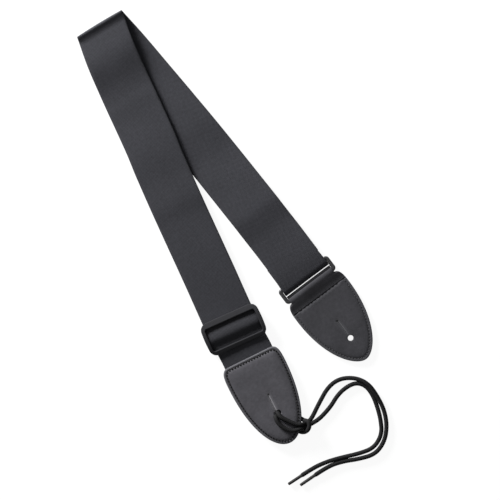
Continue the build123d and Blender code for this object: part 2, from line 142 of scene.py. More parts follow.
def band(name, stations, thick, columns, edge, finish):
    """Closed strap through stations of (middle, across, half width), with soft edges.

    Its field "lay" holds the place across and along the strap, in metres."""
    points, lay = [], []
    run = 0.0
    row_places = [i / columns * 2 - 1 for i in range(columns + 1)]
    rim = ((0.62, 0.38), (0.9, 0.2), (1.0, 0.0), (0.9, -0.2), (0.62, -0.38))
    for number, (middle, across, half) in enumerate(stations):
        bow = min(0.5, max(0.0, middle.z - thick) * 0.1)  # the band is a little hollow beneath
        before = stations[max(number - 1, 0)][0]
        after = stations[min(number + 1, len(stations) - 1)][0]
        heading = (after - before).normalized()
        up = across.cross(heading).normalized()
        if number:
            run += (middle - before).length
        flat = half - edge
        ring = [(place * flat, thick / 2) for place in row_places]
        ring += [(flat + reach * edge, height * thick) for reach, height in rim]
        ring += [(place * flat, -thick / 2) for place in reversed(row_places)]
        ring += [(-flat - reach * edge, -height * thick) for reach, height in rim]
        skew = across.dot(heading)
        for out, height in ring:
            points.append(middle + across * out + up * (height + bow * (1 - (out / half) ** 2)))
            lay.append((out * MM, (run + out * skew) * MM, 0))
    faces = tube_faces(len(points) // len(stations), len(stations))
    return make_piece(name, points, faces, finish, lay=lay)


# Middle line of each leg: shifts from the leg's own straight line, then places near the fold.
left_shifts = [
    (10, 2.4), (38, 2.1), (46, 1.6), (64, 0.15), (120, 0), (190, -0.6), (235, -0.4), (257, 0.3),
    (290, 0.1), (317, -0.2),
]
left_slope = left_along.x / left_along.y
left_plan = [(y, slider_middle.x + (y - slider_middle.y) * left_slope + x) for y, x in left_shifts]
left_plan += [(350.0, -55.2), (fold_edge, -49.4)]
right_shifts = [(0, 0.4), (60, 0.5), (112, 0.5), (138, 0), (150, -0.2)]
right_plan = [(y, y * right_along.x / right_along.y + x) for y, x in right_shifts]
right_plan += [(233.4, -26.1), (316.8, -38.8), (350.0, -44.0), (fold_edge, -49.4)]
turn_to_fold = [(190, 0), (300, 1)]
narrowing = [(300, 1), (fold_edge, 0.985)]


def leg(plan, across, along):
    """Maker of a leg's stations: square to the leg low down, parallel to the fold near it."""

    def station(y, z):
        turned = across.lerp(Vector((1, 0, 0)), eased(turn_to_fold, y)).normalized()
        half = webbing_half / abs(turned.cross(along).z) * eased(narrowing, y)
        return Vector((eased(plan, y), y, z)), turned, half

    return station


left_station = leg(left_plan, left_across, left_along)
right_station = leg(right_plan, right_across, right_along)

# Slack in the band: it lies in shallow waves, a little above the layer beneath it.
left_waves = [
    (0, 0), (95, 0), (118, 0.1), (140, 0.15), (162, 0.05), (180, 0.05), (196, 0.6), (222, 0.1),
    (250, 0.75), (285, 0.2), (300, 0.3), (309, 0),
]
# The crest of the fold, back from its edge: a low swell, a dip and a lip at the very edge.
fold_crest = [
    (-74, 0), (-62, 0.5), (-54, 1.35), (-46, 2.6), (-38, 3.75), (-32, 4.25), (-26, 4.4), (-20, 4.2),
    (-14, 3.9), (-10, 3.75), (-8, 3.55), (-6, 3.85), (-4, 4.4),
]
fold_turn = [(-4, 9.7), (-2.2, 10.5), (-1.2, 10.8), (-0.65, 10.5), (-0.5, 9.4), (-0.55, 6.0)]
fold_return = [(-0.55, 6.0), (-1.6, 3.3), (-4.3, 1.3), (-8.3, 0.6)]
inner_turn = [(-4, 8.2), (-2.9, 8.75), (-2.3, 8.6), (-2.05, 7.8), (-2.05, 6.0)]
inner_return = [(-2.05, 6.0), (-3.0, 4.0), (-5.0, 2.6), (-8.3, 2.1)]


def crest_height(y):
    return eased(fold_crest, y - fold_edge)


def steps(start, end):
    """Even places from start to end, both kept."""
    count = max(2, ceil(abs(end - start) / webbing_step))
    return [start + (end - start) * i / count for i in range(count + 1)]


def through(knots, step):
    """Points on a smooth line through 2-D knots, about a step apart."""
    place, places = 0.0, [0.0]
    for before, after in zip(knots, knots[1:]):
        place += dist(before, after) ** 0.5
        places.append(place)
    xs = [(p, knot[0]) for p, knot in zip(places, knots)]
    ys = [(p, knot[1]) for p, knot in zip(places, knots)]
    found = []
    for (a, b), before, after in zip(zip(places, places[1:]), knots, knots[1:]):
        count = max(2, ceil(dist(before, after) / step))
        stops = [a + (b - a) * i / count for i in range(count)]
        found += [(eased(xs, stop), eased(ys, stop)) for stop in stops]
    return found + [knots[-1]]


fine_step = 0.8  # between two stations in a tight turn


def round_fold(station, knots):
    """Stations round the fold through (place from its edge, height) knots."""
    return [station(fold_edge + y, z) for y, z in through(knots, fine_step)]


# Finish of the webbing: charcoal nylon in a fine plain weave. Shared nodes first.
def wired(tree, node, inputs):
    """The node with its inputs set; each is a value or a socket to wire in."""
    for name, value in inputs.items():
        if isinstance(value, bpy.types.NodeSocket):
            tree.links.new(value, node.inputs[name])
        else:
            node.inputs[name].default_value = value
    return node


def add_node(tree, kind, inputs=None, **settings):
    """Shader node with its settings, then its inputs."""
    made = tree.nodes.new("ShaderNode" + kind)
    for name, value in settings.items():
        setattr(made, name, value)
    return wired(tree, made, inputs or {})


def maths(tree, operation, *values):
    return add_node(tree, "Math", dict(enumerate(values)), operation=operation).outputs[0]


def field(tree, name):
    """The mesh's own field of that name."""
    return add_node(tree, "Attribute", attribute_name=name).outputs["Vector"]


def spot_on(tree):
    """The place on the object."""
    return add_node(tree, "TexCoord").outputs["Object"]


def split(tree, vector):
    return add_node(tree, "SeparateXYZ", {0: vector}).outputs


def effect(name, output, **inputs):
    """Empty node group with a place and named values in, and one value out."""
    tree = bpy.data.node_groups.new(name, "ShaderNodeTree")
    tree.interface.new_socket(name="Place", in_out="INPUT", socket_type="NodeSocketVector")
    for label, value in inputs.items():
        socket = tree.interface.new_socket(name=label, in_out="INPUT", socket_type="NodeSocketFloat")
        socket.default_value = value
    tree.interface.new_socket(name=output, in_out="OUTPUT", socket_type="NodeSocketFloat")
    return tree, tree.nodes.new("NodeGroupInput").outputs, tree.nodes.new("NodeGroupOutput")


def placed(tree, group, **inputs):
    """A node group's output, placed in a material with this material's own values."""
    made = tree.nodes.new("ShaderNodeGroup")
    made.node_tree = group
    return wired(tree, made, {name.capitalize(): value for name, value in inputs.items()}).outputs[0]


def noise(tree, place, scale, detail):
    return add_node(tree, "TexNoise", {"Vector": place, "Scale": scale, "Detail": detail}).outputs[0]


def humps(tree, place):
    """Rounded ridges, one to each whole step of the place."""
    return maths(tree, "ABSOLUTE", maths(tree, "SINE", maths(tree, "MULTIPLY", place, pi)))


# Plain weave: every warp thread shows as a row of grains, set half a grain on from the next row.
weave, weave_in, weave_out = effect("plain_weave", "Height", Warp=0.0008, Weft=0.0016)
parts = split(weave, weave_in["Place"])
warp = maths(weave, "DIVIDE", parts[0], weave_in["Warp"])
weft = maths(weave, "DIVIDE", parts[1], weave_in["Weft"])
odd_row = maths(weave, "FLOORED_MODULO", maths(weave, "FLOOR", warp), 2.0)
grain = humps(weave, maths(weave, "ADD", weft, maths(weave, "MULTIPLY", odd_row, 0.5)))
thread = humps(weave, warp)
rounded = maths(weave, "MULTIPLY", maths(weave, "POWER", grain, 0.45), maths(weave, "POWER", thread, 0.4))
wired(weave, weave_out, {"Height": rounded})

# Uneven tone over a whole piece, from handling and light dust.
patches, patches_in, patches_out = effect("uneven_tone", "Tone", Scale=30.0, Amount=0.1)
cloud = noise(patches, patches_in["Place"], patches_in["Scale"], 3.0)
swing = maths(patches, "MULTIPLY", maths(patches, "SUBTRACT", cloud, 0.5), patches_in["Amount"])
wired(patches, patches_out, {"Tone": maths(patches, "ADD", swing, 1.0)})


def new_finish(name):
    """Material with an empty Principled shader; returns it, its tree and the shader."""
    finish = bpy.data.materials.new(name)
    finish.use_nodes = True
    tree = finish.node_tree
    return finish, tree, tree.nodes["Principled BSDF"]


def shade(tree, colour, factor):
    """A colour brightened or darkened by a factor socket."""
    return add_node(tree, "VectorMath", {0: colour, 3: factor}, operation="SCALE").outputs[0]


def mixed(tree, factor, low, high):
    """Colour between two, by a factor socket; either can be a socket too."""
    return add_node(tree, "Mix", {"Factor": factor, 6: low, 7: high}, data_type="RGBA").outputs[2]


def opaque(colour, factor=1):
    return [c * factor for c in colour] + [1]


def surface(tree, shader, colour, rough, specular=0.5, normal=None):
    """Sets up a Principled shader; each of its properties is a value or a socket."""
    wired(tree, shader, {"Base Color": colour, "Roughness": rough, "Specular IOR Level": specular})
    if normal:
        wired(tree, shader, {"Normal": normal})


def bumped(tree, height, strength, distance):
    bump = add_node(tree, "Bump", {"Height": height, "Strength": strength, "Distance": distance})
    return bump.outputs[0]


webbing_hollow_shade, webbing_thread = (0.0185, 0.0187, 0.022), (0.0495, 0.05, 0.059)


def webbing_finish(name, depth):
    """Woven nylon; depth scales its colour, and below 1 it makes a darker copy with painted shade."""
    finish, tree, shader = new_finish(name)
    lay = field(tree, "lay")
    woven = placed(tree, weave, place=lay, warp=0.00085, weft=0.0017)
    tone = placed(tree, patches, place=spot_on(tree), scale=24.0, amount=0.4)
    tone_marks = placed(tree, patches, place=lay, scale=330.0, amount=0.5)
    # Painted shade: the weave's hollows are coloured darker than its grains.
    colour = mixed(tree, woven, opaque(webbing_hollow_shade, depth), opaque(webbing_thread, depth))
    colour = shade(tree, colour, maths(tree, "MULTIPLY", tone, tone_marks))
    surface(tree, shader, colour, rough=0.8, specular=0.25, normal=bumped(tree, woven, 0.5, 0.0003))
    return finish


webbing_black = webbing_finish("webbing_black", 1.0)
webbing_arch_painted_shade = webbing_finish("webbing_arch_painted_shade", 0.72)  # in the slider's window, darker: painted shade


def webbing(name, stations, finish=webbing_black):
    return band(name, stations, webbing_thick, webbing_columns, webbing_soft_edge, finish)


def turned_over(stations):
    """The same stations for a band whose upper face looks down."""
    return [(middle, -across, half) for middle, across, half in stations]


main_z = node_middle("webbing_left_main").z
sewn_in = 17  # how far the band runs on under the lace end's edge
sewn_in_y = node_box("lace_end_front_panel")[1].y - sewn_in
stations = [
    left_station(y, main_z + crest_height(y) + eased(left_waves, y))
    for y in steps(sewn_in_y, fold_edge + fold_turn[0][0])[:-1]
]
stations += round_fold(left_station, fold_turn)
left_run = webbing("webbing_left_run", stations)
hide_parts("webbing_left_main", "webbing_fold_outer")
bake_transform(left_run)

# ---- Webbing: round the fold, down the right leg, through the ring and back ----
# The same band goes on from the outside of the fold along the floor, turns over the ring's far bar
# in a slack loop and comes back on top of itself to the inside of the fold.
ring_bar = Vector(joints["ring_turn"]["pos_m"]) / MM
far_bar = ring_bar.dot(right_along)
lower_z = webbing_thick / 2
upper_z = node_middle("webbing_right_upper").z
loop_path = [  # along the leg from the bar, and height
    (24, lower_z), (6, lower_z), (-1.9, lower_z), (-4.9, 0.78), (-6.0, 1.4), (-6.4, 2.5), (-6.0, 3.75),
    (-4.8, 4.85), (-2.8, 5.75), (0, 6.1), (4.6, 6.4), (10.6, 6.6),
]
loop_flare = [(0, 0.42), (9, 0)]  # along the leg from the bar, and how much wider on each side
loop_shift = 0.1
# The slack loop sinks slowly on to the layer beneath it.
right_heights = [
    (80, 6.3), (86, 6.6), (100, 6.2), (115, 5.6), (128, 5.5), (140, 6.2), (150, 6.6), (165, 5.6),
    (180, 4.4), (195, 3.3), (207, 2.5), (218, upper_z), (232, upper_z + 0.2), (250, upper_z + 0.55),
    (278, upper_z + 0.1), (300, upper_z),
]


def placer(origin, across_way, along_way):
    """Maker of points at (across, along, height) from an origin, in a piece's own directions."""
    return lambda x, y, z=0: origin + across_way * x + along_way * y + Vector((0, 0, z))


on_right_leg = placer(Vector(), right_across, right_along)
lower_end = (far_bar + loop_path[0][0]) * right_along.y
upper_start = (far_bar + loop_path[-1][0]) * right_along.y
stations = round_fold(right_station, fold_return)
stations += [right_station(y, lower_z) for y in steps(fold_edge + fold_return[-1][0], lower_end)[1:]]
for along, height in through(loop_path, 1.0)[1:-1]:
    half = webbing_half + eased(loop_flare, along)
    stations.append((on_right_leg(loop_shift, far_bar + along, height), right_across, half))
back_up = steps(upper_start, fold_edge + inner_return[-1][0])[:-1]
stations += [right_station(y, eased(right_heights, y)) for y in back_up]
stations += round_fold(right_station, inner_return[::-1])
right_run = webbing("webbing_right_run", turned_over(stations))
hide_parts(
    "webbing_right_lower", "webbing_right_upper", "webbing_ring_loop", "webbing_fold_outer",
    "webbing_fold_inner"
)
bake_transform(right_run)

# ---- Webbing: inside of the fold and back under the left leg to the slider ----
# The last stretch lies under the left leg. Its end turns round the slider's middle bar and is sewn
# to itself with a box stitch.
under_z = node_middle("webbing_left_under").z
split_y = 262.0
stations = round_fold(left_station, inner_turn[::-1])
stations += [
    left_station(y, under_z + crest_height(y)) for y in steps(fold_edge + inner_turn[0][0], split_y)[1:]
]
inner_run = webbing("webbing_inner_run", turned_over(stations))
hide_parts("webbing_fold_inner", "webbing_left_under")
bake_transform(inner_run)

tail_path = [  # along the leg from the slider's middle, and height
    (33.1, 2.6), (26, 2.6), (19, 2.45), (13, 1.5), (8.5, 0.75), (3, 0.6), (-1.6, 0.6), (-2.9, 1.1),
    (-3.4, 2.2), (-2.9, 3.3), (-1.6, under_z), (3, under_z), (12, under_z), (24, under_z), (36, under_z),
]

on_left_leg = placer(Vector((slider_middle.x, slider_middle.y, 0)), left_across, left_along)


def across_left_leg(path, step, half):
    """Stations square to the left leg through (along, height) knots from the slider's middle."""
    return [(on_left_leg(0, along, height), left_across, half) for along, height in through(path, step)]


stations = across_left_leg(tail_path, 1.0, webbing_half)
stations += [left_station(y, under_z) for y in steps(stations[-1][0].y, split_y)[1:]]
tail_run = webbing("webbing_tail_run", stations)
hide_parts("webbing_left_under", "webbing_tail_loop")
on_left_leg(0, 34, 0) * MM
on_left_leg(0, 198, 0) * MM
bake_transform(tail_run)

# ---- Slider ----
# Three-bar slider moulded in black plastic with a fine spark-eroded grain and an uneven tone. The
# band arches over the middle bar inside its window.
moulded_grain, grain_in, grain_out = effect("moulded_grain", "Height", Scale=1800.0)
wired(moulded_grain, grain_out, {"Height": noise(moulded_grain, grain_in["Place"], grain_in["Scale"], 2.0)})


def moulded_finish(name, colour, uneven, rough, specular, grain, relief):
    """Plastic or enamel over a fine grain; uneven holds one or two (scale, amount) of its tone."""
    finish, tree, shader = new_finish(name)
    spot = spot_on(tree)
    tones = [placed(tree, patches, place=spot, scale=scale, amount=amount) for scale, amount in uneven]
    tone = maths(tree, "MULTIPLY", *tones) if len(tones) > 1 else tones[0]
    normal = bumped(tree, placed(tree, moulded_grain, place=spot, scale=grain), relief, 0.0001)
    rough = maths(tree, "MULTIPLY", tones[0], rough)
    surface(tree, shader, shade(tree, colour, tone), rough, specular, normal)
    return finish


def dress(name, finish):
    """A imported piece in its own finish."""
    materials = frame["nodes"][name].data.materials
    materials.clear()
    materials.append(finish)


dress("slider", moulded_finish(
    "slider_black", (0.027, 0.027, 0.03), [(60.0, 0.3), (420.0, 0.25)],
    rough=0.85, specular=0.12, grain=1900.0, relief=0.25,
))

arch_path = [
    (-12.5, 5.45), (-10.6, 5.45), (-9.0, 5.5), (-7.4, 6.0), (-5.6, 6.8), (-4.0, 7.6), (-2.4, 8.2),
    (-0.6, 8.4), (1.4, 8.2), (3.4, 7.8), (5.4, 7.2), (7.4, 6.5), (9.4, 5.7), (11.5, 5.45),
]
arch_half = webbing_half + 0.75  # pressed wider in the window
# The arch wears the darker copy of the webbing: painted shade in the window.
arch = webbing("webbing_arch", across_left_leg(arch_path, fine_step, arch_half), webbing_arch_painted_shade)
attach(arch, "slider")

# ---- Thread ----
# Bonded nylon sewing thread. Every stitch is a short bridge of twisted thread whose two ends dip
# into the needle holes.
stitch_pitch, stitch_long, stitch_thick = 2.9, 2.2, 0.62
bridge_rings, bridge_sides, bridge_sink = 7, 8, 0.45


def thread_bridge(middle, along, up, long, thick):
    """Points of one stitch, ring by ring."""
    side = up.cross(along)
    points = []
    for i in range(bridge_rings):
        t = i / (bridge_rings - 1) * 2 - 1
        height = (1 - t**4) * bridge_sink - bridge_sink + thick * 0.28
        fat = thick / 2 * (1 - 0.35 * abs(t) ** 3)
        centre = middle + along * (t * long / 2)
        for k in range(bridge_sides):
            a = 2 * pi * k / bridge_sides
            points.append(centre + up * (height + fat * 0.8 * sin(a)) + side * (fat * cos(a)))
    return points


def seam(name, places, finish, long=stitch_long, thick=stitch_thick):
    """One object with a stitch at every place of (middle, along, up)."""
    points, faces, lay = [], [], []
    joined = tube_faces(bridge_sides, bridge_rings)
    for middle, along, up in places:
        faces += [tuple(i + len(points) for i in face) for face in joined]
        bridge = thread_bridge(middle, along, up, long, thick)
        points += bridge
        for point in bridge:
            offset = point - middle
            lay.append((offset.dot(along.cross(up)) * MM, offset.dot(along) * MM, 0))
    return make_piece(name, points, faces, finish, lay=lay)


# Twist of a thread or of a lace's strands: slanting ridges.
twist, twist_in, twist_out = effect("thread_twist", "Height", Ply=0.0005)
parts = split(twist, twist_in["Place"])
slant = maths(twist, "DIVIDE", maths(twist, "ADD", parts[0], parts[1]), twist_in["Ply"])
wired(twist, twist_out, {"Height": humps(twist, slant)})


def thread_finish(name, colour, rough):
    finish, tree, shader = new_finish(name)
    ridge = placed(tree, twist, place=field(tree, "lay"), ply=0.00045)
    # Painted shade: the twist's grooves are coloured darker than its ridges.
    colour = mixed(tree, ridge, opaque(colour, 0.45), opaque(colour))
    surface(tree, shader, colour, rough, normal=bumped(tree, ridge, 0.5, 0.0002))
    return finish


black_thread = thread_finish("black_thread", (0.005, 0.005, 0.0055), 0.8)
grey_thread = thread_finish("charcoal_thread", (0.05, 0.05, 0.053), 0.5)


def stitch(face, at, ahead, up):
    """A stitch's (middle, along, up) at a place on a face, heading for the place ahead."""
    middle = face(*at)
    return middle, (face(*ahead) - middle).normalized(), up


def row(start, end, face, up):
    """Stitch places on a straight line between two (across, along) points."""
    (x0, y0), (x1, y1) = start, end
    count = max(1, round(dist(start, end) / stitch_pitch))
    shares = [(i + 0.5) / count for i in range(count)]
    return [stitch(face, (x0 + (x1 - x0) * t, y0 + (y1 - y0) * t), end, up) for t in shares]


def level(to_frame, height):
    """A flat face at a height, for stitches to lie on."""
    return lambda x, y: to_frame(x, y, height)


upwards, down = Vector((0, 0, 1)), Vector((0, 0, -1))
box_half, box_start, box_end = 22.1, 20.9, 30.2  # half width, and its two ends along the leg
box_inset, cross_inset = 1.5, 3
cross_half, low_row, high_row = box_half - cross_inset, box_start + box_inset, box_end - box_inset
box = [
    ((-box_half, box_start), (box_half, box_start)), ((-box_half, box_end), (box_half, box_end)),
    ((-box_half, low_row), (-box_half, high_row)), ((box_half, low_row), (box_half, high_row)),
    ((-cross_half, low_row), (cross_half, high_row)), ((-cross_half, high_row), (cross_half, low_row)),
]
under_tail = level(on_left_leg, node_box("tail_box_stitch")[1].z - 0.02)
places = [place for start, end in box for place in row(start, end, under_tail, down)]
box_seam = seam("tail_box_seam", places, black_thread)
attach(box_seam, "slider")
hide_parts("tail_box_stitch")

# ---- Ring ----
# Rectangular ring in black enamelled metal; the webbing turns round its far bar and the leather tab
# round its near bar.
dress("ring", moulded_finish(
    "ring_enamel", (0.04, 0.04, 0.042), [(90.0, 0.3)], rough=0.38, specular=0.5, grain=900.0, relief=0.15,
))

# ---- Button end ----
# Pad of two soft black leather panels over thin foam, sewn all round. The lower panel runs on round
# the ring's near bar and comes back on top as a tab. A hole and a slit take the strap button.
leather_grain, leather_in, leather_out = effect("leather_grain", "Height", Scale=900.0)
cells = add_node(
    leather_grain, "TexVoronoi", {"Vector": leather_in["Place"], "Scale": leather_in["Scale"]},
    feature="SMOOTH_F1",
).outputs[0]
crease_scale = maths(leather_grain, "MULTIPLY", leather_in["Scale"], 0.35)
creases = noise(leather_grain, leather_in["Place"], crease_scale, 4.0)
skin_height = maths(leather_grain, "ADD", maths(leather_grain, "MULTIPLY", cells, 0.6), creases)
wired(leather_grain, leather_out, {"Height": skin_height})
slit_end_shade = (0.008, 0.008, 0.009, 1)  # painted shade, deep in the slit's end


def leather_finish(name, colour, rub, slit_highlight):
    """Satin leather; field "rim" holds how far a place is rubbed pale, painted shade at the slit's end, painted
    highlight by the slit.
    """
    finish, tree, shader = new_finish(name)
    spot = spot_on(tree)
    tone_marks = split(tree, field(tree, "rim"))
    tone = placed(tree, patches, place=spot, scale=45.0, amount=0.7)
    scuff = placed(tree, patches, place=spot, scale=300.0, amount=0.55)
    tint = mixed(tree, tone_marks[0], opaque(colour), opaque(rub))
    tint = mixed(tree, tone_marks[1], mixed(tree, tone_marks[2], tint, opaque(slit_highlight)), slit_end_shade)
    tint = shade(tree, tint, maths(tree, "MULTIPLY", tone, scuff))
    rough = maths(tree, "MULTIPLY_ADD", scuff, 0.15, 0.57)
    normal = bumped(tree, placed(tree, leather_grain, place=spot, scale=1100.0), 0.3, 0.00025)
    surface(tree, shader, tint, rough, specular=0.25, normal=normal)
    return finish


leather_black = leather_finish(
    "leather_black", colour=(0.05, 0.0495, 0.056), rub=(0.085, 0.085, 0.093), slit_highlight=(0.12, 0.12, 0.13)
)
leather_grey = leather_finish(
    "leather_charcoal", colour=(0.078, 0.076, 0.086), rub=(0.11, 0.11, 0.12), slit_highlight=(0.24, 0.235, 0.25)
)


def bezier(knots, count):
    """Points on a Bezier curve of four knots, the last point left out."""
    return [
        tuple(
            (1 - t) ** 3 * p + 3 * (1 - t) ** 2 * t * q + 3 * (1 - t) * t**2 * r + t**3 * s
            for p, q, r, s in zip(*knots)
        )
        for t in [i / count for i in range(count)]
    ]


def evenly(line, pitch, rounding):
    """Even points of an open line, about a pitch apart, each with the distance run up to it."""
    lengths = [0.0]
    for a, b in zip(line, line[1:]):
        lengths.append(lengths[-1] + dist(a, b))
    count, at, found = rounding(lengths[-1] / pitch), 0, []
    for i in range(count + 1):
        want = lengths[-1] * i / count
        while at < len(line) - 2 and lengths[at + 1] < want:
            at += 1
        t = (want - lengths[at]) / ((lengths[at + 1] - lengths[at]) or 1)
        found.append((tuple(p + (q - p) * t for p, q in zip(line[at], line[at + 1])), want))
    return found


outline_pitch = 0.95
curve_points = (10, 14, 60)  # on the three curves of an outline's half


def whole_outline(*knots):
    """Closed outline, anticlockwise, from its right half: three Bezier curves, top middle to tip."""
    half = []
    for number, count in enumerate(curve_points):
        half += bezier(knots[3 * number:3 * number + 4], count)
    half = [point for point, _ in evenly(half + [knots[-1]], outline_pitch, round)]
    left = [(-x, y) for x, y in half]
    return left[:-1] + half[::-1][:-1]


def inset(loop, distance):
    """The loop moved inwards by a distance."""
    found = []
    for i, (x, y) in enumerate(loop):
        (x0, y0), (x1, y1) = loop[i - 1], loop[(i + 1) % len(loop)]
        dx, dy = x1 - x0, y1 - y0
        size = hypot(dx, dy) or 1
        found.append((x - dy / size * distance, y + dx / size * distance))
    return found


def inside(loop, x, y):
    found = False
    for (x0, y0), (x1, y1) in zip(loop, loop[1:] + loop[:1]):
        if (y0 > y) != (y1 > y) and x < x0 + (y - y0) / (y1 - y0) * (x1 - x0):
            found = not found
    return found


def gap_to(loop, x, y):
    """Distance from a point to a closed line."""
    best = 1e9
    for (x0, y0), (x1, y1) in zip(loop, loop[1:] + loop[:1]):
        dx, dy = x1 - x0, y1 - y0
        t = max(0, min(1, ((x - x0) * dx + (y - y0) * dy) / (dx * dx + dy * dy or 1)))
        best = min(best, hypot(x - x0 - dx * t, y - y0 - dy * t))
    return best


hole_points, slit_steps, slit_gap = 40, 14, 0.012


def circle(radius):
    """Points round a circle, the first half a step on."""
    turns = [2 * pi * (i + 0.5) / hole_points for i in range(hole_points)]
    return [(radius * cos(a), radius * sin(a)) for a in turns]


def keyhole(hole, x, top):
    """The hole's loop with a narrow slit let into it, straight up at x to its top."""
    middle = sum(y for _, y in hole) / len(hole)
    at = min((i for i, p in enumerate(hole) if p[1] > middle), key=lambda i: abs(hole[i][0] - x))
    base = hole[at][1]
    up = [(x + slit_gap / 2, base + (top - base) * i / slit_steps) for i in range(slit_steps + 1)]
    back = [(x - slit_gap / 2, y) for _, y in reversed(up)]
    return hole[:at] + up + back + hole[at + 1:]


edge_insets = (0.45, 0.8, 1.3, 1.8, 2.3, 2.6, 2.8, 2.95, 3.1, 3.35, 3.8, 4.6, 5.6, 7.2)
hole_rings = (0.5, 1.2)
face_grid, hole_margin, edge_margin = 2.1, 1.7, 8.2  # pitch of the inner points, and what they keep clear


def leather_face(outline, hole, height):
    """One face of a leather end: points, triangles, the outline's and the hole's loops, and depths.

    height(x, y, d) is the face's height at a point that lies d inside the outline."""
    flat, depths = [], []
    for distance in edge_insets:
        flat += inset(outline, distance)
        depths += [distance] * len(outline)
    count = len(outline)
    hole_start = len(flat)
    flat += hole
    depths += [gap_to(outline, *p) for p in hole]
    for distance in hole_rings:
        for p in inset(hole, -distance)[::2]:
            if gap_to(hole, *p) > distance * 0.8:
                flat.append(p)
                depths.append(gap_to(outline, *p))
    xs, ys = zip(*outline)
    for i in range(int((max(xs) - min(xs)) / face_grid)):
        for j in range(int((max(ys) - min(ys)) / face_grid)):
            x, y = min(xs) + (i + 0.5) * face_grid, min(ys) + (j + 0.5 + 0.5 * (i % 2)) * face_grid
            if inside(outline, x, y) and not inside(hole, x, y) and gap_to(hole, x, y) > hole_margin:
                depth = gap_to(outline, x, y)
                if depth > edge_margin:
                    flat.append((x, y))
                    depths.append(depth)
    edges = [(i, (i + 1) % count) for i in range(count)]
    edges += [(hole_start + i, hole_start + (i + 1) % len(hole)) for i in range(len(hole))]
    found, _, triangles, origins, _, _ = delaunay_2d_cdt([Vector(p) for p in flat], edges, [], 0, 1e-6)
    index = {old: new for new, olds in enumerate(origins) for old in olds}
    outer = inset(outline, edge_insets[0])
    kept = []
    for triangle in triangles:
        x = sum(found[i].x for i in triangle) / 3
        y = sum(found[i].y for i in triangle) / 3
        if inside(outer, x, y) and not inside(hole, x, y):
            kept.append(tuple(triangle))
    depth_of = [0.0] * len(found)
    for old, depth in enumerate(depths):
        depth_of[index[old]] = depth
    points = [Vector((p.x, p.y, height(p.x, p.y, d))) for p, d in zip(found, depth_of)]
    outer_loop = [index[i] for i in range(count)]
    hole_loop = [index[hole_start + i] for i in range(len(hole))]
    return points, kept, outer_loop, hole_loop, depth_of


# Shape of a sewn edge, from the cut edge inwards: rounded lip, groove pulled in by the seam, padding.
sewn_edge = [
    (0.45, -0.25), (0.8, -0.05), (1.3, 0.0), (1.8, 0.0), (2.3, -0.1), (2.6, -0.28), (2.8, -0.38),
    (2.95, -0.4), (3.1, -0.36), (3.35, -0.16), (3.8, 0.1), (4.6, 0.38), (5.6, 0.58), (7.2, 0.74),
    (10, 0.86), (14, 0.9),
]
seam_inset = 2.95
# Side of the sandwich from the top lip down: leather, foam set back, leather; (inset, share of height).
side_profile = [
    (0.16, 0.9), (0.0, 0.82), (0.0, 0.7), (0.12, 0.655), (0.6, 0.62), (0.6, 0.38), (0.12, 0.345), (0.0, 0.3),
    (0.0, 0.18), (0.16, 0.1),
]
rub_middle, slit_highlight_reach, slit_end_shade_reach = 0.9, 0.9, 1.1  # in from the edge, and round the slit and its end


def bell(distance, reach):
    """1 at no distance, falling off smoothly within about twice the reach."""
    return exp(-((distance / reach) ** 2))


def leather_end(name, outline, hole, slit, to_frame, top, back, finish):
    """Closed sewn pad: a face above and below, layered sides, and the wall of its hole.

    slit is its middle line, (x, lowest y, highest y)."""
    points, faces, edge, hole_edge, depths = leather_face(outline, hole, top)
    back_points, back_faces, back_edge, back_hole, back_depths = leather_face(outline, hole, back)
    ends = [(points[a].z, back_points[b].z) for a, b in zip(edge, back_edge)]
    rims, slit_end_shades, slit_highlights = [], [], []
    for point, depth in zip(points, depths):
        rims.append(max(0.0, 1 - abs(depth - rub_middle) / rub_middle))
        # Beside the slit a painted highlight, and at its top end painted shade.
        slit_highlights.append(bell(hypot(point.x - slit[0], max(slit[1] - point.y, point.y - slit[2], 0)), slit_highlight_reach))
        slit_end_shades.append(bell(hypot(point.x - slit[0], point.y - slit[2]), slit_end_shade_reach))
    count = len(outline)

    def skirt(upper, lower):
        """Quads between two loops of equally many points."""
        n = len(upper)
        return [(upper[i], lower[i], lower[(i + 1) % n], upper[(i + 1) % n]) for i in range(n)]

    last = edge
    for distance, share in side_profile:
        ring = list(range(len(points), len(points) + count))
        for (x, y), (high, low) in zip(inset(outline, distance), ends):
            points.append(Vector((x, y, low + (high - low) * share)))
            rims.append(0.0 if distance > 0.3 else 0.7)
        faces += skirt(last, ring)
        last = ring
    start = len(points)
    points += back_points
    rims += [0.3 if depth < 1.4 else 0.0 for depth in back_depths]
    faces += skirt(last, [start + i for i in back_edge])
    faces += [tuple(start + i for i in reversed(face)) for face in back_faces]
    faces += skirt([start + i for i in back_hole], hole_edge)
    spare = [0.0] * (len(points) - len(slit_end_shades))
    rim = list(zip(rims, slit_end_shades + spare, slit_highlights + spare))
    return make_piece(name, [to_frame(*point) for point in points], faces, finish, rim=rim)


button_top = node_box("button_end_lining")[1].z
shoulder, tab_seam_at, neck = 59.8, 49.5, 24.7
button_widest, button_tip = 31.3, -25
button_outline = whole_outline(
    (0, shoulder), (8, shoulder), (16, shoulder), (neck, shoulder), (30.9, shoulder - 0.5),
    (button_widest, 52), (button_widest, 44), (button_widest, -1), (11.6, button_tip), (0, button_tip)
)
hole_radius = frame["record"]["mounts"][0]["dims"]["r_mm"]
button_slit_top = 20.7
button_hole = keyhole(circle(hole_radius), 0, button_slit_top)


def lips(x, y, foot, top):
    """Dip of a face towards its slit, between low raised lips."""
    away = hypot(x, max(foot - y, y - top, 0))
    return -0.32 * bell(away, 0.55) + 0.1 * bell(away - 1.4, 0.6)


